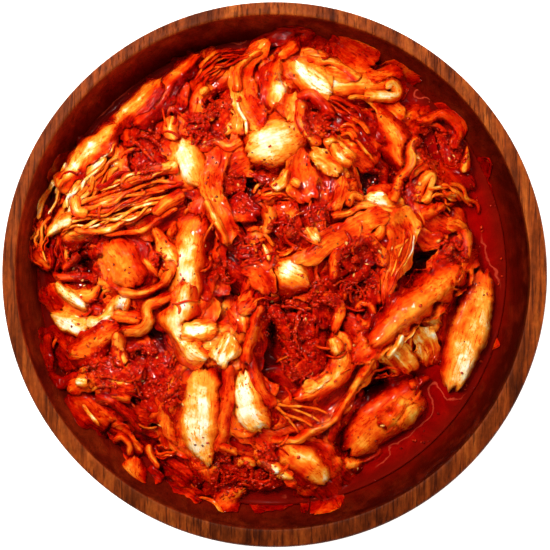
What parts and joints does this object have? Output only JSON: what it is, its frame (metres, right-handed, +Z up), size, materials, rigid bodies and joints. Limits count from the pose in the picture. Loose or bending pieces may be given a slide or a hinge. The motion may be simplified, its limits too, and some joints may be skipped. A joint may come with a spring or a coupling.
{
  "type": "bowl of kimchi",
  "caption": "Turned wooden bowl filled with cabbage kimchi, heaped above the rim in the middle, with red brine standing round its edge.",
  "frame": {"origin": "middle of the bowl's flat foot, on the surface it stands on", "axes": "+Z up; the bowl is round about Z apart from a slightly off-centre opening; +X is to the right and +Y away from the viewer when the heap is seen from the front"},
  "size_m": [0.2, 0.2, 0.0776],
  "materials": {
    "wood": "oiled red-brown hardwood with dark streaked grain, stained dark red by brine inside",
    "brine": "deep red, clear, wet and glossy chilli brine",
    "kimchi": "wet orange to deep red cabbage leaves under glossy chilli paste with ground pepper flakes",
    "cabbage_stem": "wet translucent cream to orange cabbage stem, stained red along its edges"
  },
  "bodies": {
    "root": {"bowl": "wood", "brine": "brine", "kimchi_heap": "kimchi", "stem_top_middle": "cabbage_stem", "stem_top_upright": "cabbage_stem", "stem_top_right": "cabbage_stem", "stem_left_middle": "cabbage_stem", "stem_middle": "cabbage_stem", "stem_left_broad": "cabbage_stem", "stem_bottom_left": "cabbage_stem", "stem_bottom_middle": "cabbage_stem", "stem_centre": "cabbage_stem", "stem_right_long": "cabbage_stem", "slab_right": "cabbage_stem", "slab_low_right": "cabbage_stem", "stem_bottom": "cabbage_stem"}
  },
  "joints": []
}
